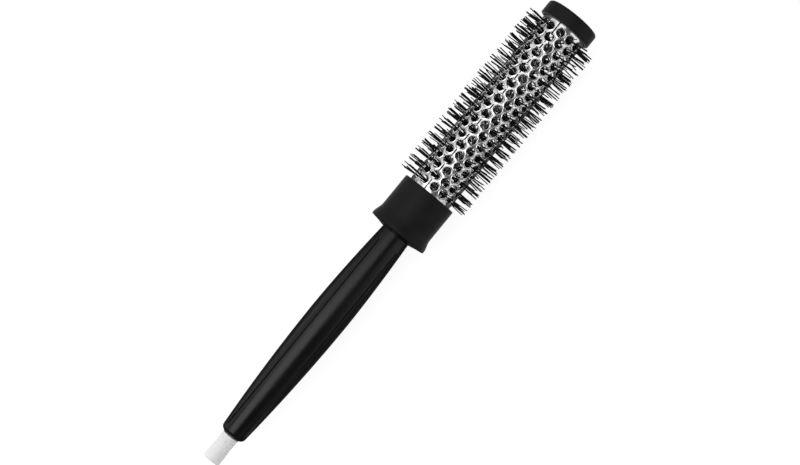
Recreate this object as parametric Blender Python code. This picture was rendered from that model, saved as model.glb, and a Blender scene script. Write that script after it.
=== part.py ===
"""Round barrel brush: a perforated aluminium barrel whose nylon bristles stand on a twisted
wire core, a moulded handle, and a white sectioning pick that pulls out of the handle's end.

Metres, +Z up. The brush lies along X with its end cap towards +X, and its lowest bristle
tips are at z = 0. A station is a distance along the axis from the pick's outer end, and an
angle round the axis is 0 straight up and grows towards +Y.
"""

import math

import bmesh
import bpy
from mathutils import Matrix, Vector

# Fits
CLEARANCE = 0.0003  # gap between pieces that touch or seat
RIM_RADIUS = 0.0005  # rounding of the collar's two rims and of the end cap's lower rim

# Sectioning pick
PICK_HEAD_LENGTH = 0.0145
PICK_HEAD_RADIUS = 0.0044
PICK_WAIST_AT = 0.0075  # where the head has narrowed to its waist
PICK_WAIST_DEPTH = 0.00025
PICK_CORNER_RADIUS = 0.0008
PICK_GROOVE_COUNT = 5
PICK_GROOVE_PITCH = 0.00126
PICK_GROOVE_WIDTH = 0.0006
PICK_GROOVE_DEPTH = 0.00022
PICK_PLUG_RADIUS = 0.0026
PICK_PLUG_LENGTH = 0.012
PICK_NEEDLE_RADIUS = 0.0019
PICK_TIP_RADIUS = 0.0007
PICK_NEEDLE_LENGTH = 0.062

# Handle
HANDLE_LENGTH = 0.1196
HANDLE_END_RADIUS = 0.0062
HANDLE_BELLY_RADIUS = 0.0094
HANDLE_NECK_RADIUS = 0.00745
HANDLE_BELLY_AT = 0.0721  # from the handle's end
HANDLE_END_ROUNDING = 0.0027
HANDLE_END_LAND = 0.00025  # flat ring left round the bore
HANDLE_LOWER_TAPER = 1.9  # power of the curve from the belly to the end
HANDLE_UPPER_TAPER = 1.7  # power of the curve from the belly to the neck
SPIGOT_RADIUS = 0.0055
SPIGOT_LENGTH = 0.013

# Barrel: a perforated sheet rolled round, its two long edges almost meeting at the seam
BARREL_RADIUS = 0.0115
BARREL_SHEET = 0.00045
BARREL_EXPOSED = 0.098
BARREL_INTO_CAP = 0.0037
SEAM_GAP = 0.0003
HOLE_RADIUS = 0.00185
HOLES_PER_RING = 13
RING_COUNT = 21
FIRST_RING_FROM_COLLAR = 0.0035
LAST_RING_FROM_CAP = 0.0037

# Bristles: one tuft through each hole
BRISTLE_REACH = 0.0075  # beyond the barrel's surface
TUFT_ROOT_LENGTH = 0.0015  # along the axis
TUFT_TIP_WIDTH = 0.0012
RING_HUB_RADIUS = 0.0036

# Twisted wire core
WIRE_RADIUS = 0.0009
WIRE_LAY = 0.00925  # axial length of one full twist
WIRE_POINTS_PER_TURN = 8
WIRE_INTO_CAP = 0.0035

# Collar
COLLAR_LENGTH = 0.025
COLLAR_WALL = 0.0021
COLLAR_FLOOR = 0.0024
COLLAR_FLARE = 0.00125  # how far the lower rim stands out
COLLAR_FLARE_AT = 0.0020  # from the collar's lower end
COLLAR_FLARE_LENGTH = 0.0063

# Core hub: its flange stands on the collar's floor, and the barrel stands on the flange
HUB_FLANGE_LENGTH = 0.003
HUB_WIRE_GRIP = 0.0036  # solid length above the spigot's socket, bored for the wires

# End cap
CAP_LENGTH = 0.0071
CAP_OVERHANG = 0.0021  # beyond the barrel's surface
CAP_EDGE_RADIUS = 0.0014
CAP_BOSS_BELOW = 0.001  # how far the boss stands into the barrel

# Facets
LARGE_SEGMENTS = 36
SMALL_SEGMENTS = 18
HANDLE_STEPS = 13
COLLAR_BLEND_STEPS = 4
UNDERSIDE_ANGLE = 160  # degrees, where the collar's sloping underside meets its rounded rim

# The seam's cutter, which only has to reach past the sheet
CUTTER_OVERRUN = 0.005
CUTTER_DEPTH = 0.0036

# Stations worked out from the sizes above
HANDLE_START = PICK_HEAD_LENGTH + CLEARANCE
COLLAR_START = HANDLE_START + HANDLE_LENGTH
COLLAR_MOUTH = COLLAR_START + COLLAR_LENGTH
CAP_START = COLLAR_MOUTH + BARREL_EXPOSED
TOTAL_LENGTH = CAP_START + CAP_LENGTH
SOCKET_END = COLLAR_START + SPIGOT_LENGTH + CLEARANCE
HUB_START = COLLAR_START + COLLAR_FLOOR + CLEARANCE
HUB_SHOULDER = HUB_START + HUB_FLANGE_LENGTH
HUB_END = SOCKET_END + HUB_WIRE_GRIP
BARREL_START = HUB_SHOULDER + CLEARANCE
BARREL_END = CAP_START + BARREL_INTO_CAP
FIRST_RING = COLLAR_MOUTH + FIRST_RING_FROM_COLLAR
LAST_RING = CAP_START - LAST_RING_FROM_CAP
RING_PITCH = (LAST_RING - FIRST_RING) / (RING_COUNT - 1)
WIRE_START = SOCKET_END + WIRE_RADIUS  # a strand's cut ends slope by its radius
WIRE_END = CAP_START + WIRE_INTO_CAP

# Radii worked out from the sizes above
TIP_RADIUS = BARREL_RADIUS + BRISTLE_REACH
BARREL_INNER_RADIUS = BARREL_RADIUS - BARREL_SHEET
SEAT_RADIUS = BARREL_INNER_RADIUS - CLEARANCE  # of what the barrel's ends fit over
COLLAR_BORE = BARREL_RADIUS + CLEARANCE
COLLAR_RADIUS = COLLAR_BORE + COLLAR_WALL
CAP_RADIUS = BARREL_RADIUS + CAP_OVERHANG
WIRE_HELIX_RADIUS = WIRE_RADIUS + CLEARANCE / 2
WIRE_BORE = WIRE_HELIX_RADIUS + WIRE_RADIUS + CLEARANCE
HOLE_STEP = 2 * math.pi / HOLES_PER_RING


def clear_scene():
    for thing in list(bpy.data.objects):
        bpy.data.objects.remove(thing)


def make_material(name, colour, roughness, metallic=0.0):
    """A material with one Principled BSDF."""
    material = bpy.data.materials.new(name)
    material.use_nodes = True
    shader = material.node_tree.nodes["Principled BSDF"]
    shader.inputs["Base Color"].default_value = (*colour, 1.0)
    shader.inputs["Roughness"].default_value = roughness
    shader.inputs["Metallic"].default_value = metallic
    return material


def add_object(name, data, material):
    """Puts a mesh or curve on the brush's axis, where its own x is the station."""
    thing = bpy.data.objects.new(name, data)
    bpy.context.collection.objects.link(thing)
    data.materials.append(material)
    thing.parent = brush_axis
    return thing


def mesh_object(name, bm, material, smooth_below=40):
    """Turns a bmesh into an object with its faces pointing out, shaded smooth but for its edges."""
    bmesh.ops.recalc_face_normals(bm, faces=bm.faces)
    mesh = bpy.data.meshes.new(name)
    bm.to_mesh(mesh)
    bm.free()
    mesh.shade_smooth()
    mesh.set_sharp_from_angle(angle=math.radians(smooth_below))
    return add_object(name, mesh, material)


def on_axis(station, radius, angle):
    """The point at a station, a radius and an angle round the axis."""
    return Vector((station, radius * math.sin(angle), radius * math.cos(angle)))


def turned(name, profile, segments, material, closed=False):
    """Spins a profile of (station, radius) points round the axis."""
    bm = bmesh.new()
    points = [bm.verts.new((station, 0, radius)) for station, radius in profile]
    edges = [bm.edges.new(pair) for pair in zip(points, points[1:])]
    if closed:
        edges.append(bm.edges.new((points[-1], points[0])))
    bmesh.ops.spin(
        bm,
        geom=points + edges,
        cent=(0, 0, 0),
        axis=(1, 0, 0),
        angle=2 * math.pi,
        steps=segments,
        use_merge=True,
    )
    bmesh.ops.remove_doubles(bm, verts=bm.verts, dist=1e-6)
    return mesh_object(name, bm, material)


def arc(station, radius, size, start, end, steps):
    """Points of an arc about (station, radius), with angles in degrees from +station to +radius."""
    angles = [math.radians(start + (end - start) * step / steps) for step in range(steps + 1)]
    return [(station + size * math.cos(a), radius + size * math.sin(a)) for a in angles]


def handle_radius(distance):
    """The handle's outer radius at a distance from its end: a belly, thinner towards both ends."""
    if distance < HANDLE_BELLY_AT:
        share = 1 - distance / HANDLE_BELLY_AT
        return HANDLE_BELLY_RADIUS - (HANDLE_BELLY_RADIUS - HANDLE_END_RADIUS) * share**HANDLE_LOWER_TAPER
    share = (distance - HANDLE_BELLY_AT) / (HANDLE_LENGTH - HANDLE_BELLY_AT)
    return HANDLE_BELLY_RADIUS - (HANDLE_BELLY_RADIUS - HANDLE_NECK_RADIUS) * share**HANDLE_UPPER_TAPER


def make_handle(material):
    """The handle, bored from its end for the pick, with a spigot into the core hub at its top."""
    plug_bore = PICK_PLUG_RADIUS + CLEARANCE
    needle_bore = PICK_NEEDLE_RADIUS + CLEARANCE
    plug_end = PICK_HEAD_LENGTH + PICK_PLUG_LENGTH + CLEARANCE
    bore_end = PICK_HEAD_LENGTH + PICK_PLUG_LENGTH + PICK_NEEDLE_LENGTH + 2 * CLEARANCE
    rounding = min(HANDLE_END_ROUNDING, HANDLE_END_RADIUS - plug_bore - HANDLE_END_LAND)
    top = HANDLE_LENGTH - CLEARANCE
    profile = [(bore_end, 0), (bore_end, needle_bore), (plug_end, needle_bore)]
    profile += [(plug_end, plug_bore), (HANDLE_START, plug_bore)]
    profile += arc(HANDLE_START + rounding, handle_radius(rounding) - rounding, rounding, 180, 90, 4)
    for step in range(1, HANDLE_STEPS + 1):
        distance = rounding + (top - rounding) * step / HANDLE_STEPS
        profile.append((HANDLE_START + distance, handle_radius(distance)))
    profile += [(HANDLE_START + top, SPIGOT_RADIUS), (COLLAR_START + SPIGOT_LENGTH, SPIGOT_RADIUS)]
    profile.append((COLLAR_START + SPIGOT_LENGTH, 0))
    turned("handle", profile, LARGE_SEGMENTS, material)


def make_pick(material):
    """The pick: a ribbed head, a plug that grips in the handle's bore, and a tapered needle."""
    waist = PICK_HEAD_RADIUS - PICK_WAIST_DEPTH
    profile = [(0, 0)]
    profile += arc(PICK_CORNER_RADIUS, PICK_HEAD_RADIUS - PICK_CORNER_RADIUS, PICK_CORNER_RADIUS, 180, 90, 3)
    profile.append((PICK_WAIST_AT, waist))
    for number in range(PICK_GROOVE_COUNT, 0, -1):
        station = PICK_HEAD_LENGTH - number * PICK_GROOVE_PITCH
        profile.append((station - PICK_GROOVE_WIDTH / 2, waist))
        profile.append((station, waist - PICK_GROOVE_DEPTH))
        profile.append((station + PICK_GROOVE_WIDTH / 2, waist))
    profile += [(PICK_HEAD_LENGTH, PICK_HEAD_RADIUS), (PICK_HEAD_LENGTH, PICK_PLUG_RADIUS)]
    plug_end = PICK_HEAD_LENGTH + PICK_PLUG_LENGTH
    needle_end = plug_end + PICK_NEEDLE_LENGTH
    profile += [(plug_end, PICK_PLUG_RADIUS), (plug_end, PICK_NEEDLE_RADIUS)]
    profile += arc(needle_end - PICK_TIP_RADIUS, 0, PICK_TIP_RADIUS, 90, 0, 3)[:-1]
    profile.append((needle_end, 0))
    turned("sectioning_pick", profile, SMALL_SEGMENTS, material)


def make_collar(material):
    """The collar: a cup over the barrel's lower end, with a flared rim above a sloping underside."""
    bore = SPIGOT_RADIUS + CLEARANCE
    flare_radius = COLLAR_RADIUS + COLLAR_FLARE
    flare = COLLAR_START + COLLAR_FLARE_AT
    profile = [(COLLAR_START, bore), (COLLAR_START, HANDLE_NECK_RADIUS)]
    profile += arc(flare, flare_radius - RIM_RADIUS, RIM_RADIUS, UNDERSIDE_ANGLE, 90, 2)
    for step in range(1, COLLAR_BLEND_STEPS + 1):
        share = step / COLLAR_BLEND_STEPS
        rise = COLLAR_FLARE * (1 + math.cos(math.pi * share)) / 2
        profile.append((flare + COLLAR_FLARE_LENGTH * share, COLLAR_RADIUS + rise))
    profile += arc(COLLAR_MOUTH - RIM_RADIUS, COLLAR_RADIUS - RIM_RADIUS, RIM_RADIUS, 90, 0, 2)
    profile += [(COLLAR_MOUTH, COLLAR_BORE), (COLLAR_START + COLLAR_FLOOR, COLLAR_BORE)]
    profile.append((COLLAR_START + COLLAR_FLOOR, bore))
    turned("collar", profile, LARGE_SEGMENTS, material, closed=True)


def make_core_hub(material):
    """The hub inside the collar: the barrel's lower end, the wires and the handle's spigot meet in it."""
    socket = SPIGOT_RADIUS + CLEARANCE
    profile = [(HUB_START, socket), (HUB_START, BARREL_RADIUS), (HUB_SHOULDER, BARREL_RADIUS)]
    profile += [(HUB_SHOULDER, SEAT_RADIUS), (HUB_END, SEAT_RADIUS), (HUB_END, WIRE_BORE)]
    profile += [(SOCKET_END, WIRE_BORE), (SOCKET_END, socket)]
    turned("core_hub", profile, LARGE_SEGMENTS, material, closed=True)


def make_end_cap(material):
    """The end cap: a groove takes the barrel's upper end, and a boss holds the ends of the wires."""
    groove_end = BARREL_END + CLEARANCE
    groove_radius = BARREL_RADIUS + CLEARANCE
    boss = CAP_START - CAP_BOSS_BELOW
    pocket_end = WIRE_END + WIRE_RADIUS
    profile = [(pocket_end, 0), (pocket_end, WIRE_BORE), (boss, WIRE_BORE), (boss, SEAT_RADIUS)]
    profile += [(groove_end, SEAT_RADIUS), (groove_end, groove_radius), (CAP_START, groove_radius)]
    profile += arc(CAP_START + RIM_RADIUS, CAP_RADIUS - RIM_RADIUS, RIM_RADIUS, 180, 90, 2)
    profile += arc(TOTAL_LENGTH - CAP_EDGE_RADIUS, CAP_RADIUS - CAP_EDGE_RADIUS, CAP_EDGE_RADIUS, 90, 0, 4)
    profile.append((TOTAL_LENGTH, 0))
    turned("end_cap", profile, LARGE_SEGMENTS, material)


def ring_station(ring):
    return FIRST_RING + ring * RING_PITCH


def hole_angle(ring, hole):
    """Every other ring of holes is turned by half a step."""
    return (hole + (ring % 2) / 2) * HOLE_STEP


def hole_outline(bm, ring, hole):
    """Six points round a hole on the barrel's surface, of the same area as the round hole.
    They go round from +angle towards +station, starting 30 degrees past the first."""
    size = HOLE_RADIUS * math.sqrt(2 * math.pi / (3 * math.sqrt(3)))
    points = []
    for corner in range(6):
        turn = math.radians(30 + 60 * corner)
        angle = hole_angle(ring, hole) + size * math.cos(turn) / BARREL_RADIUS
        points.append(bm.verts.new(on_axis(ring_station(ring) + size * math.sin(turn), BARREL_RADIUS, angle)))
    return points


def join_rings(bm, lower, upper, shift):
    """Faces between two neighbouring rings of holes. shift is 0 where the upper ring is the turned one."""
    for hole in range(HOLES_PER_RING):
        here = lower[hole]
        following = lower[(hole + 1) % HOLES_PER_RING]
        right = upper[(hole + shift) % HOLES_PER_RING]
        left = upper[(hole + shift - 1) % HOLES_PER_RING]
        bm.faces.new((here[0], right[4], right[3], here[1]))
        bm.faces.new((here[1], left[5], left[4], here[2]))
        bm.faces.new((here[0], following[2], right[4]))
        bm.faces.new((here[1], right[3], left[5]))


def join_end(bm, holes, ring, station, corners):
    """Faces from a ring of holes to an end of the barrel. corners are the outline's points on that side."""
    right, middle, left = corners
    above = []
    between = []
    for hole in range(HOLES_PER_RING):
        angle = hole_angle(ring, hole)
        above.append(bm.verts.new(on_axis(station, BARREL_RADIUS, angle)))
        between.append(bm.verts.new(on_axis(station, BARREL_RADIUS, angle + HOLE_STEP / 2)))
    for hole in range(HOLES_PER_RING):
        here = holes[hole]
        following = holes[(hole + 1) % HOLES_PER_RING]
        bm.faces.new((here[right], between[hole], above[hole], here[middle]))
        bm.faces.new((here[middle], above[hole], between[hole - 1], here[left]))
        bm.faces.new((here[right], following[left], between[hole]))


def make_seam_cutter():
    """A thin blade along the barrel, through the turned rings' holes at half a step from the top."""
    bm = bmesh.new()
    bmesh.ops.create_cube(bm, size=1)
    size = Vector((BARREL_END - BARREL_START + 2 * CUTTER_OVERRUN, SEAM_GAP, CUTTER_DEPTH))
    bmesh.ops.scale(bm, vec=size, verts=bm.verts)
    bmesh.ops.translate(bm, vec=((BARREL_START + BARREL_END) / 2, 0, BARREL_RADIUS), verts=bm.verts)
    bmesh.ops.rotate(bm, matrix=Matrix.Rotation(-HOLE_STEP / 2, 3, "X"), verts=bm.verts)
    mesh = bpy.data.meshes.new("seam_cutter")
    bm.to_mesh(mesh)
    bm.free()
    cutter = bpy.data.objects.new("seam_cutter", mesh)
    bpy.context.collection.objects.link(cutter)
    cutter.parent = brush_axis
    cutter.hide_render = True
    cutter.display_type = "WIRE"
    return cutter


def make_barrel(material):
    """The perforated sheet, as thick as Solidify makes it inwards, with its seam cut open."""
    bm = bmesh.new()
    rings = []
    for ring in range(RING_COUNT):
        rings.append([hole_outline(bm, ring, hole) for hole in range(HOLES_PER_RING)])
    for ring, holes in enumerate(rings):
        for hole in range(HOLES_PER_RING):
            here = holes[hole]
            following = holes[(hole + 1) % HOLES_PER_RING]
            bm.faces.new((here[5], following[3], following[2], here[0]))
        if ring + 1 < RING_COUNT:
            join_rings(bm, holes, rings[ring + 1], ring % 2)
    join_end(bm, rings[0], 0, BARREL_START, (5, 4, 3))
    join_end(bm, rings[-1], RING_COUNT - 1, BARREL_END, (0, 1, 2))
    barrel = mesh_object("barrel", bm, material)
    sheet = barrel.modifiers.new("sheet", "SOLIDIFY")
    sheet.thickness = BARREL_SHEET
    sheet.offset = -1
    seam = barrel.modifiers.new("seam", "BOOLEAN")
    seam.operation = "DIFFERENCE"
    seam.solver = "EXACT"
    seam.object = make_seam_cutter()


def make_bristle_ring(ring, material):
    """One ring of tufts on a hub round the wires, each tuft through one hole of the barrel."""
    bm = bmesh.new()
    station = ring_station(ring)
    inner_radius = WIRE_BORE / math.cos(HOLE_STEP / 2)
    outer_radius = RING_HUB_RADIUS / math.cos(HOLE_STEP / 2)
    corners = []
    for hole in range(HOLES_PER_RING):
        angle = hole_angle(ring, hole) - HOLE_STEP / 2
        for side, radius in ((-1, inner_radius), (-1, outer_radius), (1, outer_radius), (1, inner_radius)):
            corners.append(bm.verts.new(on_axis(station + side * TUFT_ROOT_LENGTH / 2, radius, angle)))
    roots = []
    for hole in range(HOLES_PER_RING):
        here = corners[4 * hole : 4 * hole + 4]
        following = (corners + corners[:4])[4 * hole + 4 : 4 * hole + 8]
        for side in range(4):
            other = (side + 1) % 4
            face = bm.faces.new((here[side], here[other], following[other], following[side]))
            if side == 1:
                roots.append(face)
    tips = bmesh.ops.extrude_discrete_faces(bm, faces=roots)["faces"]
    for tip in tips:
        middle = tip.calc_center_median()
        outwards = Vector((0, middle.y, middle.z)).normalized()
        place = Vector((station, 0, 0)) + outwards * TIP_RADIUS
        across = outwards.cross(Vector((1, 0, 0)))
        for corner in tip.verts:
            offset = corner.co - middle
            along_side = math.copysign(TUFT_TIP_WIDTH / 2, offset.x)
            across_side = math.copysign(TUFT_TIP_WIDTH / 2, offset.dot(across))
            corner.co = place + Vector((along_side, 0, 0)) + across * across_side
    mesh_object(f"bristle_ring_{ring + 1:02d}", bm, material)


def make_wire(name, turn, material):
    """One strand of the twisted core: a helix, half a turn away from the other strand."""
    turns = (WIRE_END - WIRE_START) / WIRE_LAY
    steps = round(turns * WIRE_POINTS_PER_TURN)
    curve = bpy.data.curves.new(name, "CURVE")
    curve.dimensions = "3D"
    curve.bevel_depth = WIRE_RADIUS
    curve.bevel_resolution = 1
    curve.use_fill_caps = True
    spline = curve.splines.new("POLY")
    spline.points.add(steps)
    for step, point in enumerate(spline.points):
        share = step / steps
        station = WIRE_START + (WIRE_END - WIRE_START) * share
        point.co = (*on_axis(station, WIRE_HELIX_RADIUS, turn + 2 * math.pi * turns * share), 1)
    add_object(name, curve, material)


clear_scene()
brush_axis = bpy.data.objects.new("brush_axis", None)
brush_axis.location = (-TOTAL_LENGTH / 2, 0, TIP_RADIUS)
bpy.context.collection.objects.link(brush_axis)

handle_plastic = make_material("handle_plastic", (0.012, 0.012, 0.012), 0.32)
soft_touch = make_material("soft_touch", (0.020, 0.021, 0.020), 0.62)
aluminium = make_material("aluminium", (0.86, 0.86, 0.87), 0.22, metallic=1.0)
nylon = make_material("nylon", (0.012, 0.012, 0.014), 0.35)
steel_wire = make_material("steel_wire", (0.62, 0.62, 0.63), 0.28, metallic=1.0)
white_plastic = make_material("white_plastic", (0.86, 0.86, 0.85), 0.30)

make_pick(white_plastic)
make_handle(handle_plastic)
make_collar(soft_touch)
make_core_hub(handle_plastic)
make_barrel(aluminium)
make_end_cap(soft_touch)
make_wire("core_wire_a", 0, steel_wire)
make_wire("core_wire_b", math.pi, steel_wire)
for ring_number in range(RING_COUNT):
    make_bristle_ring(ring_number, nylon)
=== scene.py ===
"""The looks of the round barrel brush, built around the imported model. Metres, +X towards the end cap."""

import math

import bmesh
import bpy
import numpy as np
from mathutils import Matrix, Vector


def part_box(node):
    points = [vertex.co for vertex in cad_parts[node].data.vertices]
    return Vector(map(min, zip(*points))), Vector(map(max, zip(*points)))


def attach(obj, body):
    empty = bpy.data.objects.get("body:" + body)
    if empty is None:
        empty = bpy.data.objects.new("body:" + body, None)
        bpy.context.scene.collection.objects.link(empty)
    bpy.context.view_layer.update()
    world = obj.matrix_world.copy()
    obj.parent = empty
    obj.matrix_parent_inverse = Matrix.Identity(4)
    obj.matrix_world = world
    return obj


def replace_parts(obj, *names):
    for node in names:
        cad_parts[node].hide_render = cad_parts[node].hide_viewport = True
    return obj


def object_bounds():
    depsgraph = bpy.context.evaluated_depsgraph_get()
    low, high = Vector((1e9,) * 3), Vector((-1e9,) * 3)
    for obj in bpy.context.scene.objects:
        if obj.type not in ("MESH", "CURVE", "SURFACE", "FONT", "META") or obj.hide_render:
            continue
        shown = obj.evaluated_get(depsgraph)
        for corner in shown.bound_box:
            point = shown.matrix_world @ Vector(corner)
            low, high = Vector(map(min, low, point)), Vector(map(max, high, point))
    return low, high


MM = 0.001

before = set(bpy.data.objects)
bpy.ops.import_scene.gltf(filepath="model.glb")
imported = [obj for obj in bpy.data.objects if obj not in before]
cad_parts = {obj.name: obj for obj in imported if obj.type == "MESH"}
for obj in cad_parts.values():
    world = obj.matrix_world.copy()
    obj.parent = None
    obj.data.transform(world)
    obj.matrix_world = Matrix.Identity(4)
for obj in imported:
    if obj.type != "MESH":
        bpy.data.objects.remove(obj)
cad_low, cad_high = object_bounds()

# Places, read from the frame
pick_low, pick_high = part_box("sectioning_pick")
handle_low, handle_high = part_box("handle")
collar_low, collar_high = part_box("collar")
barrel_low, barrel_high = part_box("barrel")
cap_low, cap_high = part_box("end_cap")
wire_low, wire_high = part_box("core_wire_a")
ring_nodes = sorted(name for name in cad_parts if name.startswith("bristle_ring_"))
ring_stations = [sum(corner.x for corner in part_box(name)) / 2 for name in ring_nodes]
AXIS_HEIGHT = (cap_low.z + cap_high.z) / 2
TIP_RADIUS = cad_high.z - AXIS_HEIGHT
BARREL_RADIUS = barrel_high.z - AXIS_HEIGHT
COLLAR_FLARE_RADIUS = collar_high.z - AXIS_HEIGHT
CAP_RADIUS = cap_high.z - AXIS_HEIGHT
RING_PITCH = (ring_stations[-1] - ring_stations[0]) / (len(ring_stations) - 1)

# Fits
CLEARANCE = 0.3 * MM  # between pieces that touch or seat

# Sectioning pick
PICK_HEAD_LENGTH = 14.5 * MM
PICK_WAIST_DEPTH = 0.25 * MM
PICK_WAIST_RUN = 6.2 * MM  # from the head's corner to where it has narrowed to its waist
PICK_CORNER_RADIUS = 0.8 * MM
PICK_GROOVE_COUNT = 5
PICK_GROOVE_PITCH = 1.26 * MM
PICK_GROOVE_HALF_WIDTH = 0.30 * MM
PICK_GROOVE_DEPTH = 0.15 * MM
PICK_PLUG_RADIUS = 2.6 * MM
PICK_PLUG_LENGTH = 12.0 * MM
PICK_PLUG_CHAMFER = 0.4 * MM
PICK_FILLET = 0.3 * MM
PICK_NEEDLE_RADIUS = 1.9 * MM
PICK_NEEDLE_LENGTH = 62.0 * MM
PICK_TIP_RADIUS = 0.7 * MM

# Handle
HANDLE_START = handle_low.x
HANDLE_LENGTH = collar_low.x - HANDLE_START
HANDLE_END_RADIUS = 6.2 * MM
HANDLE_BELLY_RADIUS = handle_high.z - AXIS_HEIGHT
HANDLE_NECK_RADIUS = 7.45 * MM
HANDLE_BELLY_AT = 72.1 * MM
PANEL_ANGLE = math.radians(-8.3)  # the middle of the smooth front panel
HANDLE_END_ROUNDING = 2.6 * MM
HANDLE_LOWER_TAPER = 1.9  # power of the curve from the belly to the end
HANDLE_UPPER_TAPER = 1.7  # power of the curve from the belly to the neck
HANDLE_TOP_GAP = 0.02 * MM  # below the collar
PLUG_BORE = PICK_PLUG_RADIUS + CLEARANCE
NEEDLE_BORE = PICK_NEEDLE_RADIUS + CLEARANCE
BORE_CHAMFER = 0.15 * MM
SPIGOT_RADIUS = 5.5 * MM

# Collar
COLLAR_FLARE = 1.25 * MM  # how far the lower rim stands out
COLLAR_FLARE_AT = 2.0 * MM
COLLAR_FLARE_LENGTH = 6.3 * MM
COLLAR_RIM_RADIUS = 0.75 * MM
COLLAR_MOUTH_RADIUS = 0.5 * MM
COLLAR_MOUTH_CHAMFER = 0.25 * MM
COLLAR_FLOOR = 2.4 * MM
UNDERSIDE_BEND = (0.7 * MM, 3.4 * MM)  # up from the collar's start, and out from the handle's neck
UNDERSIDE_STEEPNESS = -0.5  # faces whose normals point further down than this get the darker plastic, as painted shade

# End cap
CAP_SKIRT_AT = 1.0 * MM  # from the end of the boss
CAP_SKIRT_RADIUS = 0.45 * MM
CAP_SKIRT_CHAMFER = 0.2 * MM
CAP_EDGE_RADIUS = 1.4 * MM
CAP_LINE_INSET = 0.5 * MM  # from the rounded edge
CAP_LINE_HALF_WIDTH = 0.16 * MM
CAP_LINE_DEPTH = 0.12 * MM
WIRE_POCKET_GAP = 0.5 * MM

# Twisted wire core
WIRE_RADIUS = 1.12 * MM
WIRE_HELIX_RADIUS = 1.3 * MM
WIRE_LAY = 9.25 * MM  # axial length of one full twist
WIRE_END_CUT = 0.8 * MM
WIRE_SIDES = 16
WIRE_ROWS_PER_TURN = 28
WIRE_PHASE = math.radians(26)

# Barrel and bristles
HOLES_PER_RING = 13
HOLE_STEP = 2 * math.pi / HOLES_PER_RING
HOLE_RADIUS = 2.02 * MM
SHEET = 0.45 * MM
SEAM_GAP = 0.68 * MM
FILAMENT_RADIUS = 0.24 * MM
FILAMENT_SIDES = 6
TUFT_ROOT_RADIUS = 2.6 * MM
TIP_GAP = 0.05 * MM  # between the longest filaments and the brush's full radius

# Camera
CAMERA_DISTANCE = 0.80
CAMERA_LENS = 77.8
CAMERA_TURN = math.radians(3.3)  # round the brush's axis, away from straight above, towards -Y
AXIS_SLOPE = math.radians(50.62)  # of the brush's axis in the picture
CAMERA_TARGET_X = collar_high.x - 22.6 * MM
CAMERA_TARGET_RIGHT = 0.8 * MM

# Studio panels: their distance, and where those over the handle and over the barrel lie along the brush
PANEL_DISTANCE = 1.3
OVER_HANDLE = (-1.2, 0.05)
OVER_BARREL = (0.05, 1.2)

random = np.random.default_rng(23)


# ---------------------------------------------------------------- materials


class Shader:
    """A Principled material with short calls for the nodes that feed it."""

    def __init__(self, name, **constants):
        self.material = bpy.data.materials.new(name)
        self.material.use_nodes = True
        self.tree = self.material.node_tree
        self.principled = self.tree.nodes["Principled BSDF"]
        for socket, value in constants.items():
            self.principled.inputs[socket.replace("_", " ")].default_value = value
        self.place = self.add("ShaderNodeTexCoord").outputs["Object"]

    def add(self, kind, **settings):
        node = self.tree.nodes.new(kind)
        for setting, value in settings.items():
            setattr(node, setting, value)
        return node

    def link(self, source, target):
        self.tree.links.new(source, target)

    def stretched(self, x, y, z):
        """Object coordinates, scaled along each axis."""
        mapping = self.add("ShaderNodeMapping")
        mapping.inputs["Scale"].default_value = (x, y, z)
        self.link(self.place, mapping.inputs["Vector"])
        return mapping.outputs["Vector"]

    def noise(self, scale, detail=3.0, roughness=0.55, vector=None):
        node = self.add("ShaderNodeTexNoise")
        node.inputs["Scale"].default_value = scale
        node.inputs["Detail"].default_value = detail
        node.inputs["Roughness"].default_value = roughness
        self.link(vector or self.place, node.inputs["Vector"])
        return node.outputs["Fac"]

    def pointiness(self):
        return self.add("ShaderNodeNewGeometry").outputs["Pointiness"]

    def attribute(self, name):
        return self.add("ShaderNodeAttribute", attribute_name=name).outputs["Fac"]

    def spread(self, value, low, high, to_low, to_high):
        """Maps a value from one range to another, clamped."""
        node = self.add("ShaderNodeMapRange")
        ends = {"From Min": low, "From Max": high, "To Min": to_low, "To Max": to_high}
        for socket, number in ends.items():
            node.inputs[socket].default_value = number
        self.link(value, node.inputs["Value"])
        return node.outputs["Result"]

    def maths(self, operation, first, second):
        node = self.add("ShaderNodeMath", operation=operation)
        for socket, value in zip(node.inputs, (first, second)):
            if isinstance(value, (int, float)):
                socket.default_value = value
            else:
                self.link(value, socket)
        return node.outputs["Value"]

    def colours(self, value, *stops):
        """A colour ramp. Each stop is (position, colour)."""
        node = self.add("ShaderNodeValToRGB")
        ramp = node.color_ramp
        while len(ramp.elements) < len(stops):
            ramp.elements.new(0.5)
        for element, (position, colour) in zip(ramp.elements, stops):
            element.position = position
            element.color = (*colour, 1.0)
        self.link(value, node.inputs["Fac"])
        return node.outputs["Color"]

    def mix(self, factor, first, second):
        node = self.add("ShaderNodeMix", data_type="RGBA")
        self.link(factor, node.inputs["Factor"])
        self.link(first, node.inputs["A"])
        self.link(second, node.inputs["B"])
        return node.outputs["Result"]

    def set(self, socket, value):
        self.link(value, self.principled.inputs[socket])

    def bump(self, *layers):
        """Stacks bump layers of (height, distance)."""
        normal = None
        for height, distance in layers:
            node = self.add("ShaderNodeBump")
            node.inputs["Distance"].default_value = distance
            node.inputs["Strength"].default_value = 1.0
            self.link(height, node.inputs["Height"])
            if normal:
                self.link(normal, node.inputs["Normal"])
            normal = node.outputs["Normal"]
        self.link(normal, self.principled.inputs["Normal"])


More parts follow.
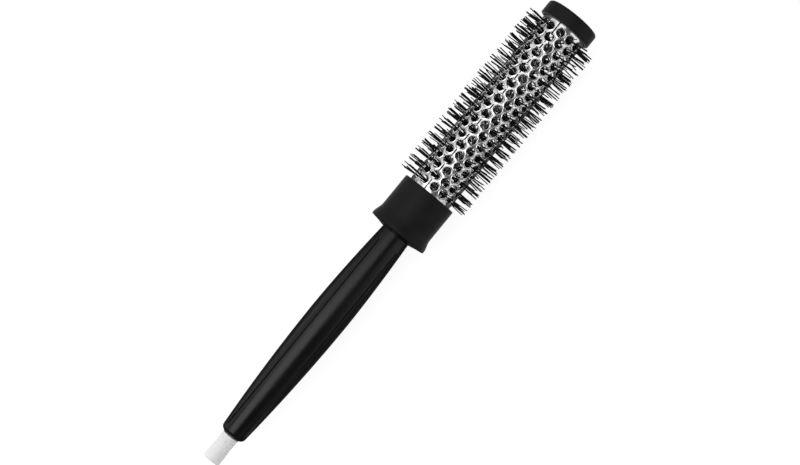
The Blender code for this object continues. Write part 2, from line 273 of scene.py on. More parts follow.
def handle_material():
    """Semi-gloss moulded plastic: faint flow marks along the handle, worn a little on its edges."""
    shader = Shader("handle_semi_gloss", Specular_IOR_Level=0.3)
    flow = shader.noise(60, detail=4, vector=shader.stretched(0.35, 1, 1))
    grain = shader.noise(2600, detail=2)
    wear = shader.spread(shader.pointiness(), 0.52, 0.60, 0.0, 1.0)
    plain = shader.colours(flow, (0.3, (0.0022, 0.0022, 0.0022)), (0.75, (0.0045, 0.0045, 0.0043)))
    worn = shader.colours(grain, (0.3, (0.016, 0.016, 0.016)), (0.8, (0.028, 0.028, 0.027)))
    shader.set("Base Color", shader.mix(wear, plain, worn))
    smooth = shader.spread(flow, 0.3, 0.7, 0.26, 0.36)
    shader.set("Roughness", shader.maths("ADD", smooth, shader.maths("MULTIPLY", wear, 0.12)))
    shader.bump((shader.noise(420, detail=3), 0.00003), (grain, 0.00001))
    return shader.material


def soft_touch_material():
    """Matte soft-touch plastic: an even fine grain with slightly polished patches and edges."""
    shader = Shader("soft_touch_matte", Specular_IOR_Level=0.15, Sheen_Weight=0.25, Sheen_Roughness=0.35)
    patches = shader.noise(130, detail=4)
    grain = shader.noise(3400, detail=3, roughness=0.7)
    edge = shader.spread(shader.pointiness(), 0.52, 0.62, 0.0, 1.0)
    plain = shader.colours(patches, (0.3, (0.0060, 0.0064, 0.0062)), (0.75, (0.0095, 0.0100, 0.0096)))
    polished = shader.colours(grain, (0.2, (0.016, 0.017, 0.016)), (0.8, (0.026, 0.027, 0.026)))
    shader.set("Base Color", shader.mix(edge, plain, polished))
    rough = shader.spread(patches, 0.3, 0.7, 0.50, 0.62)
    shader.set("Roughness", shader.maths("SUBTRACT", rough, shader.maths("MULTIPLY", edge, 0.12)))
    shader.bump((patches, 0.00004), (grain, 0.000025))
    return shader.material


def aluminium_material():
    """Bright rolled sheet: fine streaks round the barrel, soft dents, and duller punched edges."""
    shader = Shader("bright_rolled_aluminium", Metallic=1.0)
    streaks = shader.noise(240, detail=5, roughness=0.65, vector=shader.stretched(14, 1, 1))
    cloud = shader.noise(190, detail=3)
    edge = shader.spread(shader.pointiness(), 0.53, 0.64, 0.0, 1.0)
    plain = shader.colours(streaks, (0.25, (0.78, 0.78, 0.785)), (0.7, (0.88, 0.88, 0.875)))
    dull = shader.colours(cloud, (0.3, (0.60, 0.60, 0.61)), (0.7, (0.74, 0.74, 0.74)))
    shader.set("Base Color", shader.mix(edge, plain, dull))
    rough = shader.spread(streaks, 0.3, 0.75, 0.15, 0.27)
    shader.set("Roughness", shader.maths("ADD", rough, shader.maths("MULTIPLY", edge, 0.12)))
    shader.bump((cloud, 0.00008), (streaks, 0.000006))
    return shader.material


def nylon_material():
    """Black nylon filament, a little different from one filament to the next and paler at its cut tip."""
    shader = Shader("black_nylon", Specular_IOR_Level=0.2)
    tone = shader.attribute("tone")
    tip = shader.attribute("tip")
    dark = shader.colours(tone, (0.0, (0.003, 0.003, 0.003)), (1.0, (0.010, 0.0093, 0.0085)))
    pale = shader.colours(tone, (0.0, (0.010, 0.010, 0.010)), (1.0, (0.028, 0.027, 0.026)))
    shader.set("Base Color", shader.mix(tip, dark, pale))
    shader.set("Roughness", shader.spread(shader.noise(900), 0.3, 0.7, 0.34, 0.50))
    shader.bump((shader.noise(2200, detail=2), 0.00002))
    return shader.material


def wire_material():
    """Bright drawn steel wire with fine drawing lines and small dull spots."""
    shader = Shader("drawn_steel_wire", Metallic=1.0)
    lines = shader.noise(900, detail=4, roughness=0.7)
    spots = shader.noise(260, detail=3)
    plain = shader.colours(lines, (0.3, (0.66, 0.66, 0.67)), (0.7, (0.82, 0.82, 0.83)))
    dull = shader.colours(lines, (0.3, (0.40, 0.39, 0.38)), (0.7, (0.52, 0.51, 0.50)))
    shader.set("Base Color", shader.mix(shader.spread(spots, 0.52, 0.66, 0.0, 1.0), plain, dull))
    shader.set("Roughness", shader.spread(spots, 0.35, 0.65, 0.20, 0.38))
    shader.bump((lines, 0.00001))
    return shader.material


def white_material():
    """Satin white moulded plastic, with painted shade in its grooves: darker there and a touch warmer."""
    shader = Shader("satin_white_plastic", Specular_IOR_Level=0.4, Subsurface_Weight=0.3)
    shader.principled.inputs["Subsurface Radius"].default_value = (0.0030, 0.0027, 0.0024)
    handled = shader.noise(160, detail=4)
    grain = shader.noise(2600, detail=2)
    # Painted shade: a darker, warmer colour in the hollows of the grooves
    groove = shader.spread(shader.pointiness(), 0.38, 0.49, 1.0, 0.0)
    plain = shader.colours(handled, (0.3, (0.92, 0.92, 0.915)), (0.7, (0.96, 0.96, 0.955)))
    groove_shade = shader.colours(handled, (0.3, (0.68, 0.66, 0.64)), (0.7, (0.76, 0.745, 0.73)))
    shader.set("Base Color", shader.mix(groove, plain, groove_shade))
    shader.set("Roughness", shader.spread(handled, 0.3, 0.7, 0.30, 0.44))
    shader.bump((handled, 0.00003), (grain, 0.000008))
    return shader.material


# ---------------------------------------------------------------- meshes


def on_axis(x, radius, angle):
    """Points at x, a radius and an angle round the brush's axis, 0 straight up and growing towards +Y."""
    x, radius, angle = np.broadcast_arrays(x, radius, angle)
    return np.stack([x, radius * np.sin(angle), AXIS_HEIGHT + radius * np.cos(angle)], axis=-1)


def add_mesh(name, points, faces, material, sharp_above=35):
    """A mesh object, shaded smooth but for its sharper edges."""
    mesh = bpy.data.meshes.new(name)
    mesh.from_pydata(np.asarray(points).reshape(-1, 3).tolist(), [], faces)
    mesh.validate()
    mesh.update()
    mesh.shade_smooth()
    mesh.set_sharp_from_angle(angle=math.radians(sharp_above))
    mesh.materials.append(material)
    piece = bpy.data.objects.new(name, mesh)
    bpy.context.scene.collection.objects.link(piece)
    return piece


def make_normals_consistent(piece):
    bm = bmesh.new()
    bm.from_mesh(piece.data)
    bmesh.ops.recalc_face_normals(bm, faces=bm.faces)
    bm.to_mesh(piece.data)
    bm.free()


def add_closed_mesh(*details, **more):
    piece = add_mesh(*details, **more)
    make_normals_consistent(piece)
    return piece


def grid_faces(rows, columns, start=0):
    """Quads between rows of points, which close round on themselves."""
    faces = []
    for row in range(rows - 1):
        for column in range(columns):
            after = (column + 1) % columns
            first = start + row * columns
            faces.append((first + column, first + after, first + columns + after, first + columns + column))
    return faces


def arc(x, radius, size, start, end, steps):
    """Points of an arc about (x, radius), with angles in degrees from +x to +radius."""
    angles = np.radians(np.linspace(start, end, steps + 1))
    return [(x + size * math.cos(a), radius + size * math.sin(a)) for a in angles]


def turned(name, profile, material, segments=128):
    """Spins a profile of (x, radius) round the axis. Points on the axis close it, or else it joins up."""
    points = []
    angles = np.linspace(0, 2 * math.pi, segments, endpoint=False)
    on_the_axis = profile[0][1] == 0
    rings = profile[1:-1] if on_the_axis else profile
    for x, radius in rings:
        points.extend(on_axis(x, radius, angles).tolist())
    faces = grid_faces(len(rings), segments)
    last = (len(rings) - 1) * segments
    if on_the_axis:
        points.append(on_axis(profile[0][0], 0, 0).tolist())
        points.append(on_axis(profile[-1][0], 0, 0).tolist())
        first_pole = len(points) - 2
        for column in range(segments):
            after = (column + 1) % segments
            faces.append((first_pole, after, column))
            faces.append((first_pole + 1, last + column, last + after))
    else:
        for column in range(segments):
            after = (column + 1) % segments
            faces.append((last + column, last + after, after, column))
    return add_closed_mesh(name, points, faces, material)


def smooth_step(value, low, high):
    share = np.clip((value - low) / (high - low), 0, 1)
    return share * share * (3 - 2 * share)


# ---------------------------------------------------------------- handle

# Each groove: side distance from the panel's middle, half width, depth, and where it starts and ends
# along the handle, from the handle's end
GROOVES = (
    (5.2 * MM, 0.55 * MM, 0.70 * MM, 2.9 * MM, 113.6 * MM),
    (7.15 * MM, 0.40 * MM, 0.14 * MM, 36.0 * MM, 93.0 * MM),
)
GROOVE_STEPS = 8
GROOVE_START_LENGTH = 0.35 * MM
RIB_RISE = 0.10 * MM
STEEPEST_GROOVE = (math.radians(60), math.radians(77))


def handle_radius(distance):
    """The handle's radius at a distance from its end: a belly, thinner towards both ends."""
    below = np.clip(1 - distance / HANDLE_BELLY_AT, 0, 1) ** HANDLE_LOWER_TAPER
    above = np.clip((distance - HANDLE_BELLY_AT) / (HANDLE_LENGTH - HANDLE_BELLY_AT), 0, 1)
    above **= HANDLE_UPPER_TAPER
    radius = HANDLE_BELLY_RADIUS - (HANDLE_BELLY_RADIUS - HANDLE_END_RADIUS) * below
    return radius - (HANDLE_BELLY_RADIUS - HANDLE_NECK_RADIUS) * above


def quarter_outline(distance):
    """Angles and radial offsets from the panel's middle to the handle's side, with the grooves cut in."""
    radius = handle_radius(distance)
    angles = [0.0]
    offsets = [0.0]
    for number, (side, half_width, depth, start, end) in enumerate(GROOVES):
        middle = math.asin(min(side / radius, math.sin(STEEPEST_GROOVE[number])))
        half = half_width / radius
        steps = 7 if number == 0 else 4
        begin = angles[-1]
        present = smooth_step(distance, start, start + 4 * GROOVE_START_LENGTH)
        present *= 1 - smooth_step(distance, end - GROOVE_START_LENGTH, end)
        for share in np.linspace(0, 1, steps + 1)[1:]:
            rise = RIB_RISE * present * 4 * share * (1 - share) if number else 0.0
            angles.append(begin + (middle - half - begin) * share)
            offsets.append(rise)
        for share in np.linspace(-1, 1, GROOVE_STEPS + 1)[1:]:
            angles.append(middle + half * share)
            offsets.append(-depth * present * (1 - share**4))
    begin = angles[-1]
    for share in np.linspace(0, 1, 6)[1:]:
        angles.append(begin + (math.pi / 2 - begin) * share)
        offsets.append(0.0)
    return np.array(angles), np.array(offsets)


def handle_outline(distance):
    """The whole outline round the handle, the same on its four quarters."""
    angles, offsets = quarter_outline(distance)
    half_angles = np.concatenate([angles, math.pi - angles[-2::-1]])
    half_offsets = np.concatenate([offsets, offsets[-2::-1]])
    all_angles = np.concatenate([half_angles, -half_angles[-2:0:-1]])
    all_offsets = np.concatenate([half_offsets, half_offsets[-2:0:-1]])
    return all_angles + PANEL_ANGLE, all_offsets


def make_handle(material):
    """The grooved handle, bored from its end for the pick, with the spigot on its top."""
    plug_end = pick_low.x + PICK_HEAD_LENGTH + PICK_PLUG_LENGTH + CLEARANCE
    bore_end = plug_end + PICK_NEEDLE_LENGTH + CLEARANCE
    start = HANDLE_START
    body_top = HANDLE_LENGTH - HANDLE_TOP_GAP
    rounding = HANDLE_END_ROUNDING
    inner = [(bore_end, NEEDLE_BORE * 0.5), (bore_end, NEEDLE_BORE), (plug_end, NEEDLE_BORE)]
    inner += [(plug_end, PLUG_BORE), (start + BORE_CHAMFER, PLUG_BORE), (start, PLUG_BORE + BORE_CHAMFER)]
    rounded = arc(start + rounding, float(handle_radius(rounding)) - rounding, rounding, 180, 90, 10)[:-1]
    ends = [edge for groove in GROOVES for edge in (groove[3], groove[3] + 4 * GROOVE_START_LENGTH)]
    ends += [groove[4] - GROOVE_START_LENGTH for groove in GROOVES] + [groove[4] for groove in GROOVES]
    distances = sorted({*np.linspace(rounding, body_top, 110).round(6).tolist(), *ends})
    angles, _ = handle_outline(rounding)
    rows = [on_axis(x, radius, angles) for x, radius in inner + rounded]
    for distance in distances:
        angles, offsets = handle_outline(distance)
        rows.append(on_axis(start + distance, handle_radius(distance) + offsets, angles))
    top = start + body_top
    rows.append(on_axis(top, SPIGOT_RADIUS, angles))
    rows.append(on_axis(handle_high.x, SPIGOT_RADIUS, angles))
    columns = len(angles)
    points = np.concatenate(rows)
    faces = grid_faces(len(rows), columns)
    last = (len(rows) - 1) * columns
    faces.append(tuple(range(last, last + columns)))
    faces.append(tuple(range(columns - 1, -1, -1)))
    piece = add_closed_mesh("handle_moulding", points, faces, material, sharp_above=28)
    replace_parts(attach(piece, "brush"), "handle")


# ---------------------------------------------------------------- pick, collar, cap


def make_pick(material):
    """The ribbed head, the plug that grips in the bore, and the tapered needle."""
    start = pick_low.x
    end = start + PICK_HEAD_LENGTH
    head_radius = (pick_high.z - pick_low.z) / 2
    waist = head_radius - PICK_WAIST_DEPTH
    corner = PICK_CORNER_RADIUS
    profile = [(start, 0), (start, (head_radius - corner) * 0.5)]
    profile += arc(start + corner, head_radius - corner, corner, 180, 90, 8)
    for share in (0.25, 0.5, 0.75, 1.0):
        radius = head_radius - PICK_WAIST_DEPTH * smooth_step(share, 0, 1)
        profile.append((start + corner + PICK_WAIST_RUN * share, radius))
    for number in range(PICK_GROOVE_COUNT, 0, -1):
        middle = end - (number - 0.15) * PICK_GROOVE_PITCH
        for share in np.linspace(-1, 1, 7):
            radius = waist - PICK_GROOVE_DEPTH * (1 - share * share)
            profile.append((middle + share * PICK_GROOVE_HALF_WIDTH, radius))
    profile += [(end - 0.5 * MM, waist + 0.05 * MM), (end - 0.15 * MM, head_radius - 0.05 * MM)]
    profile += arc(end - 0.15 * MM, head_radius - 0.2 * MM, 0.15 * MM, 90, 0, 3)
    plug = PICK_PLUG_RADIUS
    plug_end = end + PICK_PLUG_LENGTH
    profile += [(end, plug + PICK_FILLET), (end + PICK_FILLET, plug), (plug_end - PICK_PLUG_CHAMFER, plug)]
    profile += [(plug_end, plug - PICK_PLUG_CHAMFER), (plug_end + PICK_FILLET, PICK_NEEDLE_RADIUS)]
    tip_start = pick_high.x - PICK_TIP_RADIUS
    for share in np.linspace(0.1, 1.0, 10):
        radius = PICK_NEEDLE_RADIUS + (PICK_TIP_RADIUS - PICK_NEEDLE_RADIUS) * share
        profile.append((plug_end + (tip_start - plug_end) * share, radius))
    profile += arc(tip_start, 0, PICK_TIP_RADIUS, 75, 15, 4)
    profile.append((pick_high.x, 0))
    piece = turned("sectioning_pick_moulding", profile, material, segments=96)
    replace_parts(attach(piece, "pick"), "sectioning_pick")


def make_collar(material, underside_shade):
    """The cup over the barrel's lower end: sloping underside, flared rim, straight wall, open mouth. Its
    underside and the lower part of its rim face down, and take the darker handle plastic without sheen, as
    painted shade."""
    start, mouth = collar_low.x, collar_high.x
    bore = SPIGOT_RADIUS + CLEARANCE
    wall_radius = COLLAR_FLARE_RADIUS - COLLAR_FLARE
    flare = start + COLLAR_FLARE_AT
    wall_start = flare + COLLAR_FLARE_LENGTH
    rise, reach = UNDERSIDE_BEND
    profile = [(start, bore), (start, HANDLE_NECK_RADIUS + 0.1 * MM)]
    profile.append((start + rise, HANDLE_NECK_RADIUS + reach))
    profile += arc(flare, COLLAR_FLARE_RADIUS - COLLAR_RIM_RADIUS, COLLAR_RIM_RADIUS, 165, 90, 8)
    for share in np.linspace(0, 1, 15)[1:]:
        flare_rise = COLLAR_FLARE * (1 + math.cos(math.pi * share)) / 2
        profile.append((flare + COLLAR_FLARE_LENGTH * share, wall_radius + flare_rise))
    for share in np.linspace(0, 1, 7)[1:-1]:
        profile.append((wall_start + (mouth - wall_start - 0.6 * MM) * share, wall_radius))
    rounding = COLLAR_MOUTH_RADIUS
    profile += arc(mouth - rounding, wall_radius - rounding, rounding, 90, 0, 7)
    inner = BARREL_RADIUS + CLEARANCE
    profile += [(mouth, inner + COLLAR_MOUTH_CHAMFER), (mouth - COLLAR_MOUTH_CHAMFER, inner)]
    profile += [(start + COLLAR_FLOOR, inner), (start + COLLAR_FLOOR, bore)]
    piece = turned("collar_moulding", profile, material)
    # Painted shade: the faces that point down get the darker plastic without the soft-touch sheen
    piece.data.materials.append(underside_shade)
    for face in piece.data.polygons:
        face.material_index = int(face.normal.x < UNDERSIDE_STEEPNESS)
    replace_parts(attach(piece, "brush"), "collar")


def make_cap(material):
    """The end cap: its skirt, a softly rounded outer edge, a fine line inside it and a flat face."""
    end = cap_high.x
    boss = cap_low.x
    skirt = boss + CAP_SKIRT_AT
    seat = BARREL_RADIUS - SHEET - CLEARANCE
    groove = BARREL_RADIUS + CLEARANCE
    groove_end = barrel_high.x + CLEARANCE
    wire_pocket = wire_high.x + WIRE_POCKET_GAP
    pocket_radius = (wire_high.z - wire_low.z) / 2 + CLEARANCE
    edge = CAP_EDGE_RADIUS
    lower_edge = CAP_SKIRT_RADIUS
    profile = [(wire_pocket, 0), (wire_pocket, pocket_radius * 0.5), (wire_pocket, pocket_radius)]
    profile += [(boss, pocket_radius), (boss, seat), (groove_end, seat), (groove_end, groove)]
    profile += [(skirt + CAP_SKIRT_CHAMFER, groove), (skirt, groove + CAP_SKIRT_CHAMFER)]
    profile += arc(skirt + lower_edge, CAP_RADIUS - lower_edge, lower_edge, 180, 90, 6)
    for share in (0.25, 0.5, 0.75):
        profile.append((skirt + lower_edge + (end - edge - skirt - lower_edge) * share, CAP_RADIUS))
    profile += arc(end - edge, CAP_RADIUS - edge, edge, 90, 0, 12)
    line = CAP_RADIUS - edge - CAP_LINE_INSET
    half = CAP_LINE_HALF_WIDTH
    profile += [(end, line + half), (end - CAP_LINE_DEPTH, line), (end, line - half)]
    profile += [(end, line * 0.6), (end, line * 0.2), (end, 0)]
    piece = turned("end_cap_moulding", profile, material)
    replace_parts(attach(piece, "brush"), "end_cap")


# ---------------------------------------------------------------- barrel

HOLE_SIDES = 24
SIDES_PER_EDGE = HOLE_SIDES // 6
HALF_ROUND = HOLE_SIDES // 2
WEB_DEPTH = 0.12 * MM  # of the sheet between the holes, below their raised lips
INNER_DEPTH = 0.48 * MM
# Each lip from its foot over its crest and down the hole's wall: distance out from the wall, and depth
LIP = (
    (0.57 * MM, 0.115 * MM),
    (0.47 * MM, 0.085 * MM),
    (0.38 * MM, 0.030 * MM),
    (0.30 * MM, 0.0),
    (0.22 * MM, 0.005 * MM),
    (0.13 * MM, 0.040 * MM),
    (0.06 * MM, 0.095 * MM),
    (0.02 * MM, 0.17 * MM),
    (0.0, 0.26 * MM),
    (0.0, INNER_DEPTH - 0.04 * MM),
    (0.04 * MM, INNER_DEPTH),
)


def cell_edge(pitch_round, pitch_along):
    """Points round the cell of a hole: what is nearer to it than to its six neighbours. They start at its
    lowest corner, so that half of them lie on either side of a seam through the hole."""
    side = (pitch_along**2 - pitch_round**2 / 4) / (2 * pitch_along)
    tip = pitch_along - side
    half = pitch_round / 2
    corners = [(0, -tip), (half, -side), (half, side), (0, tip), (-half, side), (-half, -side)]
    edge = []
    for (x, y), (to_x, to_y) in zip(corners, corners[1:] + corners[:1]):
        for step in range(SIDES_PER_EDGE):
            share = step / SIDES_PER_EDGE
            edge.append((x + (to_x - x) * share, y + (to_y - y) * share))
    return edge


def cell_loops(pitch_round, pitch_along):
    """Loops of (across, along, depth) from the cell's edge on the outer skin, over the hole's lip and down
    its wall, to the cell's edge on the inner skin."""
    edge = cell_edge(pitch_round, pitch_along)
    turns = [math.radians(-90 + 360 * step / HOLE_SIDES) for step in range(HOLE_SIDES)]
    loops = [[(x, y, WEB_DEPTH) for x, y in edge]]
    for out, depth in LIP:
        radius = HOLE_RADIUS + out
        loops.append([(radius * math.cos(turn), radius * math.sin(turn), depth) for turn in turns])
    loops.append([(x, y, INNER_DEPTH) for x, y in edge])
    return loops


class Sheet:
    """Collects the rolled sheet's points by place, so that neighbouring cells share them."""

    def __init__(self, length_round):
        self.length_round = length_round
        self.points = []
        self.index = {}
        self.faces = []

    def point(self, across, along, depth):
        """A point of the unrolled sheet: across goes from 0 at one side of the seam to length_round."""
        key = (round(across * 1e7), round(along * 1e7), round(depth * 1e7))
        if key not in self.index:
            gap = SEAM_GAP / BARREL_RADIUS
            angle = HOLE_STEP / 2 + gap / 2 + across / self.length_round * (2 * math.pi - gap)
            self.index[key] = len(self.points)
            self.points.append(on_axis(along, BARREL_RADIUS - depth, angle).tolist())
        return self.index[key]

    def strip(self, first, second):
        """Quads between two rows of unrolled points. Points that coincide leave a triangle, or nothing."""
        for number in range(len(first) - 1):
            corners = (first[number], first[number + 1], second[number + 1], second[number])
            ids = list(dict.fromkeys(self.point(*corner) for corner in corners))
            if len(ids) > 2:
                self.faces.append(tuple(ids))


def make_cell(sheet, loops, middle, station, steps):
    """One cell of the sheet, or the half of it that the given steps go round."""
    rows = [[(middle + loop[s][0], station + loop[s][1], loop[s][2]) for s in steps] for loop in loops]
    for first, second in zip(rows, rows[1:]):
        sheet.strip(first, second)
    return rows


def close_seam(sheet, rows, on_seam):
    """Closes the sheet's thickness along the seam: two cuts by a halved hole, or a whole cell's side."""
    if on_seam:
        for end in (0, -1):
            sheet.faces.append(tuple(sheet.point(*row[end]) for row in rows))
        return
    near = min(place[0] for place in rows[0])
    if near > 1e-7:
        near = max(place[0] for place in rows[0])
    side = [step for step, place in enumerate(rows[0][:-1]) if abs(place[0] - near) < 1e-7]
    side.sort(key=lambda step: rows[0][step][1])
    sheet.strip([rows[0][step] for step in side], [rows[-1][step] for step in side])


def close_end(sheet, zigzag, end, at_seam):
    """Carries the sheet on from the outermost cells' corners to the barrel's end, and closes it there."""
    shares = np.linspace(0, 1, 5)
    for low, high in zip(shares, shares[1:]):
        near = [(across, along + (end - along) * low) for across, along in zigzag]
        far = [(across, along + (end - along) * high) for across, along in zigzag]
        for depth in (WEB_DEPTH, INNER_DEPTH):
            sheet.strip([(*place, depth) for place in near], [(*place, depth) for place in far])
        for place, beyond in [(near[number], far[number]) for number in at_seam]:
            outer = [(*place, WEB_DEPTH), (*beyond, WEB_DEPTH)]
            sheet.strip(outer, [(*place, INNER_DEPTH), (*beyond, INNER_DEPTH)])
    rim = [(across, end) for across, _ in zigzag]
    sheet.strip([(*place, WEB_DEPTH) for place in rim], [(*place, INNER_DEPTH) for place in rim])


def make_barrel(material):
    """The perforated sheet, cell by cell round its holes, with the seam through the turned rings' holes."""
    length_round = 2 * math.pi * BARREL_RADIUS
    pitch_round = length_round / HOLES_PER_RING
    loops = cell_loops(pitch_round, RING_PITCH)
    sheet = Sheet(length_round)
    whole = [*range(HOLE_SIDES), 0]
    right_half = [*range(HALF_ROUND + 1)]
    left_half = [*range(HALF_ROUND, HOLE_SIDES), 0]
    last_ring = len(ring_stations) - 1
    for ring, station in enumerate(ring_stations):
        on_seam = ring % 2 == 1
        holes = range(HOLES_PER_RING + 1) if on_seam else range(HOLES_PER_RING)
        for hole in holes:
            at_seam = hole in (holes[0], holes[-1])
            steps = whole
            if on_seam and at_seam:
                steps = right_half if hole == 0 else left_half
            middle = (hole if on_seam else hole + 0.5) * pitch_round
            rows = make_cell(sheet, loops, middle, station, steps)
            if at_seam:
                close_seam(sheet, rows, on_seam)
            if ring in (0, last_ring):
                corner = 0 if ring == 0 else HALF_ROUND
                around = range(corner - SIDES_PER_EDGE, corner + SIDES_PER_EDGE + 1)
                zigzag = sorted((middle + loops[0][s][0], station + loops[0][s][1]) for s in around)
                sides = [side for side, at in ((0, holes[0]), (-1, holes[-1])) if hole == at]
                close_end(sheet, zigzag, barrel_low.x if ring == 0 else barrel_high.x, sides)
    piece = add_closed_mesh("barrel_sheet", sheet.points, sheet.faces, material, sharp_above=50)
    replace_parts(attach(piece, "brush"), "barrel")


# ---------------------------------------------------------------- wires and bristles


def make_wire(name, node, phase, material):
    """One strand of the twisted core, swept along its helix with flat cut ends."""
    start, end = wire_low.x + WIRE_END_CUT, wire_high.x - WIRE_END_CUT
    stations = np.linspace(start, end, round((end - start) / WIRE_LAY * WIRE_ROWS_PER_TURN))
    angles = phase + 2 * math.pi * (stations - ring_stations[0]) / WIRE_LAY
    centres = on_axis(stations, WIRE_HELIX_RADIUS, angles)
    tangents = np.gradient(centres, axis=0)
    tangents /= np.linalg.norm(tangents, axis=1, keepdims=True)
    outwards = on_axis(0 * stations, 1.0, angles) - np.array([0, 0, AXIS_HEIGHT])
    sideways = np.cross(tangents, outwards)
    turns = np.linspace(0, 2 * math.pi, WIRE_SIDES, endpoint=False)
    rows = centres[:, None] + WIRE_RADIUS * (
        np.cos(turns)[None, :, None] * outwards[:, None] + np.sin(turns)[None, :, None] * sideways[:, None]
    )
    faces = grid_faces(len(stations), WIRE_SIDES)
    last = (len(stations) - 1) * WIRE_SIDES
    faces.append(tuple(range(WIRE_SIDES)))
    faces.append(tuple(range(last + WIRE_SIDES - 1, last - 1, -1)))
    piece = add_closed_mesh(name, rows.reshape(-1, 3), faces, material)
    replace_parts(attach(piece, "brush"), node)


def filament(x, angle, root, hole, tip, root_radius, tip_radius):
    """Rows of points of one filament, through three places: offsets (along, round) at the core, the hole
    and the tip. It bends evenly between them."""
    shares = np.array([0.0, 0.28, 0.55, 0.70, 0.82, 0.92, 0.985, 1.0])
    radii = root_radius + (tip_radius - root_radius) * shares
    knots = (0.0, (BARREL_RADIUS - root_radius) / (tip_radius - root_radius), 1.0)
    curve = [np.polyfit(knots, values, 2) for values in zip(root, hole, tip)]
    along, around = (np.polyval(coefficients, shares) for coefficients in curve)
    centre = on_axis(x + along, radii, angle)
    across = np.array([0, math.cos(angle), -math.sin(angle)])
    centre = centre + around[:, None] * across
    thick = FILAMENT_RADIUS * np.array([1.0, 1.0, 1.0, 1.0, 0.97, 0.93, 0.86, 0.45])
    turns = np.linspace(0, 2 * math.pi, FILAMENT_SIDES, endpoint=False)
    lengthwise = np.array([1.0, 0, 0])
    ring = np.cos(turns)[:, None] * lengthwise + np.sin(turns)[:, None] * across
    return centre[:, None] + thick[:, None, None] * ring[None]


def tuft(station, angle):
    """Rows of points and a tone for each filament through one hole: two or three clumps of one or two
    filaments that touch at the hole and part a little towards their tips."""
    clumps = int(random.choice([2, 3, 3]))
    start_turn = random.uniform(0, 2 * math.pi)
    for clump in range(clumps):
        turn = start_turn + 2 * math.pi * (clump + random.uniform(-0.2, 0.2)) / clumps
        reach = random.uniform(0.65, 1.05) * MM
        middle = reach * np.array([math.cos(turn), 0.85 * math.sin(turn)])
        lean = middle * random.uniform(0.05, 0.45) + random.normal(0, 0.13 * MM, 2)
        for _ in range(int(random.choice([1, 2, 2]))):
            beside = random.normal(0, 0.12 * MM, 2)
            at_hole = middle + beside
            at_tip = at_hole + lean + beside * 0.5 + random.normal(0, 0.08 * MM, 2)
            short = abs(random.normal(0, 0.30 * MM)) + 0.7 * MM * (random.random() < 0.10)
            tip_radius = TIP_RADIUS - TIP_GAP - short
            rows = filament(station, angle, middle * 0.35, at_hole, at_tip, TUFT_ROOT_RADIUS, tip_radius)
            yield rows, random.random()


def make_bristles(number, node, material):
    """The filaments of one ring of holes. Every other ring is turned by half a step."""
    shift = (number % 2) / 2
    points, faces, tones, tips = [], [], [], []
    for hole in range(HOLES_PER_RING):
        for rows, tone in tuft(ring_stations[number], (hole + shift) * HOLE_STEP):
            start = len(points)
            row_count = len(rows)
            points.extend(rows.reshape(-1, 3).tolist())
            faces += grid_faces(row_count, FILAMENT_SIDES, start)
            last = start + (row_count - 1) * FILAMENT_SIDES
            faces.append(tuple(range(last, last + FILAMENT_SIDES)))
            faces.append(tuple(range(start + FILAMENT_SIDES - 1, start - 1, -1)))
            tones += [tone] * row_count * FILAMENT_SIDES
            tips += [0.0] * (row_count - 2) * FILAMENT_SIDES + [1.0] * 2 * FILAMENT_SIDES
    name = f"bristles_{number + 1:02d}"
    piece = add_closed_mesh(name, points, faces, material, sharp_above=60)
    for attribute, values in (("tone", tones), ("tip", tips)):
        piece.data.attributes.new(attribute, "FLOAT", "POINT").data.foreach_set("value", values)
    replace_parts(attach(piece, "brush"), node)


# ---------------------------------------------------------------- camera, light, floor


def look_frame():
    """(back, right, up, side): the camera's axes, and the picture's direction square to the brush."""
    back = Vector((0, -math.sin(CAMERA_TURN), math.cos(CAMERA_TURN)))
    along = Vector((1, 0, 0))
    left = back.cross(along)
    right = along * math.cos(AXIS_SLOPE) - left * math.sin(AXIS_SLOPE)
    up = along * math.sin(AXIS_SLOPE) + left * math.cos(AXIS_SLOPE)
    return back, right, up, -left


def make_camera():
    """The camera, square to the brush but for a small turn round its axis."""
    back, right, up, side = look_frame()
    target = Vector((CAMERA_TARGET_X, 0, AXIS_HEIGHT)) + side * CAMERA_TARGET_RIGHT
    data = bpy.data.cameras.new("camera")
    data.lens = CAMERA_LENS
    data.sensor_width = 36
    data.clip_start = 0.05
    data.clip_end = 20
    camera = bpy.data.objects.new("camera", data)
    turn = Matrix((right, up, back)).transposed().to_4x4()
    camera.matrix_world = Matrix.Translation(target + back * CAMERA_DISTANCE) @ turn
    bpy.context.scene.collection.objects.link(camera)
    bpy.context.scene.camera = camera


def make_panel(name, start, end, radiance, reach, colour=(1, 1, 1)):
    """A soft panel seen from the brush between two angles, in degrees right of the camera. reach is where
    it starts and ends along the brush."""
    back, _, _, side = look_frame()
    middle = math.radians((start + end) / 2)
    width = 2 * PANEL_DISTANCE * math.tan(math.radians(abs(end - start) / 2))
    length = reach[1] - reach[0]
    direction = back * math.cos(middle) + side * math.sin(middle)
    data = bpy.data.lights.new(name, "AREA")
    data.shape = "RECTANGLE"
    data.size = length
    data.size_y = width
    data.color = colour
    data.energy = radiance * math.pi * length * width
    light = bpy.data.objects.new(name, data)
    light.visible_camera = False
    along = Vector((1, 0, 0))
    turn = Matrix((along, direction.cross(along), direction)).transposed().to_4x4()
    place = Vector(((reach[0] + reach[1]) / 2, 0, AXIS_HEIGHT)) + direction * PANEL_DISTANCE
    light.matrix_world = Matrix.Translation(place) @ turn
    bpy.context.scene.collection.objects.link(light)


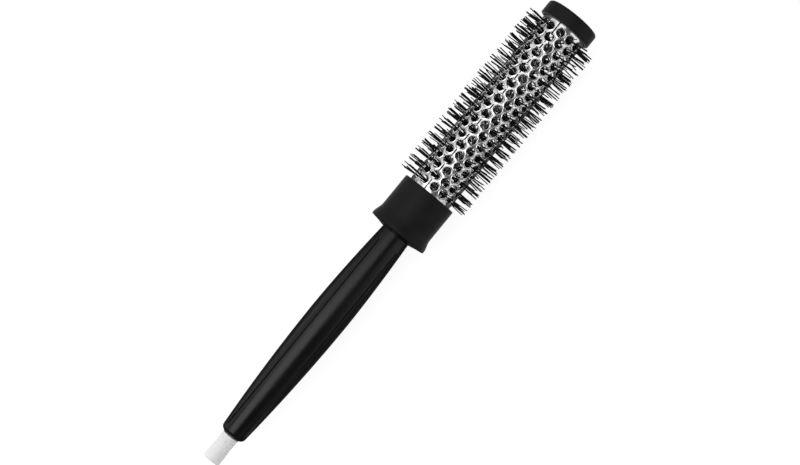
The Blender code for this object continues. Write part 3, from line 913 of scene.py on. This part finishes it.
def make_floor():
    """A pale floor that glows, so that it stays white under the brush's soft shadow."""
    size = 3.0
    points = [(-size, -size, 0), (size, -size, 0), (size, size, 0), (-size, size, 0)]
    shader = Shader("pale_floor", Roughness=0.9, Specular_IOR_Level=0.1)
    shader.set("Base Color", shader.colours(shader.noise(9), (0.3, (0.23,) * 3), (0.7, (0.25,) * 3)))
    shader.principled.inputs["Emission Color"].default_value = (1, 1, 1, 1)
    shader.principled.inputs["Emission Strength"].default_value = 0.9
    floor = add_mesh("floor", points, [(0, 1, 2, 3)], shader.material)
    floor.location.z = min(cad_low.z, 0) - 0.1 * MM
    floor.visible_glossy = False  # so that the plastic's edges stay dark against it


def make_world():
    """Even light from all round."""
    world = bpy.data.worlds.new("studio")
    world.use_nodes = True
    background = world.node_tree.nodes["Background"]
    background.inputs["Color"].default_value = (1, 1, 1, 1)
    # White behind the brush, but dim where it lights the brush or is mirrored in it
    tree = world.node_tree
    seen = tree.nodes.new("ShaderNodeLightPath").outputs["Is Camera Ray"]
    strength = tree.nodes.new("ShaderNodeMapRange")
    strength.inputs["To Min"].default_value = 0.08
    strength.inputs["To Max"].default_value = 1.0
    tree.links.new(seen, strength.inputs["Value"])
    tree.links.new(strength.outputs["Result"], background.inputs["Strength"])
    bpy.context.scene.world = world
    bpy.context.scene.view_settings.view_transform = "Standard"


make_camera()
make_world()
make_floor()
make_panel("handle_key", -46, 1, 2.5, OVER_HANDLE)
make_panel("handle_left", -112, -58, 0.75, OVER_HANDLE)
make_panel("handle_right", 58, 70, 0.4, OVER_HANDLE)
make_panel("barrel_key", -56, 1, 0.95, OVER_BARREL)
make_panel("barrel_left", -86, -58, 0.75, OVER_BARREL)
make_panel("barrel_right", 33, 100, 0.95, OVER_BARREL, colour=(1.0, 0.965, 0.955))

handle_plastic = handle_material()
soft_touch = soft_touch_material()
aluminium = aluminium_material()
nylon = nylon_material()
steel_wire = wire_material()
white_plastic = white_material()

make_handle(handle_plastic)
make_pick(white_plastic)
make_collar(soft_touch, handle_plastic)
make_cap(soft_touch)
make_barrel(aluminium)
make_wire("wire_strand_a", "core_wire_a", WIRE_PHASE, steel_wire)
make_wire("wire_strand_b", "core_wire_b", WIRE_PHASE + math.pi, steel_wire)
for ring_number, ring_node in enumerate(ring_nodes):
    make_bristles(ring_number, ring_node, nylon)

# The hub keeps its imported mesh, in the handle's plastic
hub_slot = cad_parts["core_hub"].material_slots[0]
hub_slot.link = "OBJECT"
hub_slot.material = handle_plastic

bpy.context.view_layer.update()
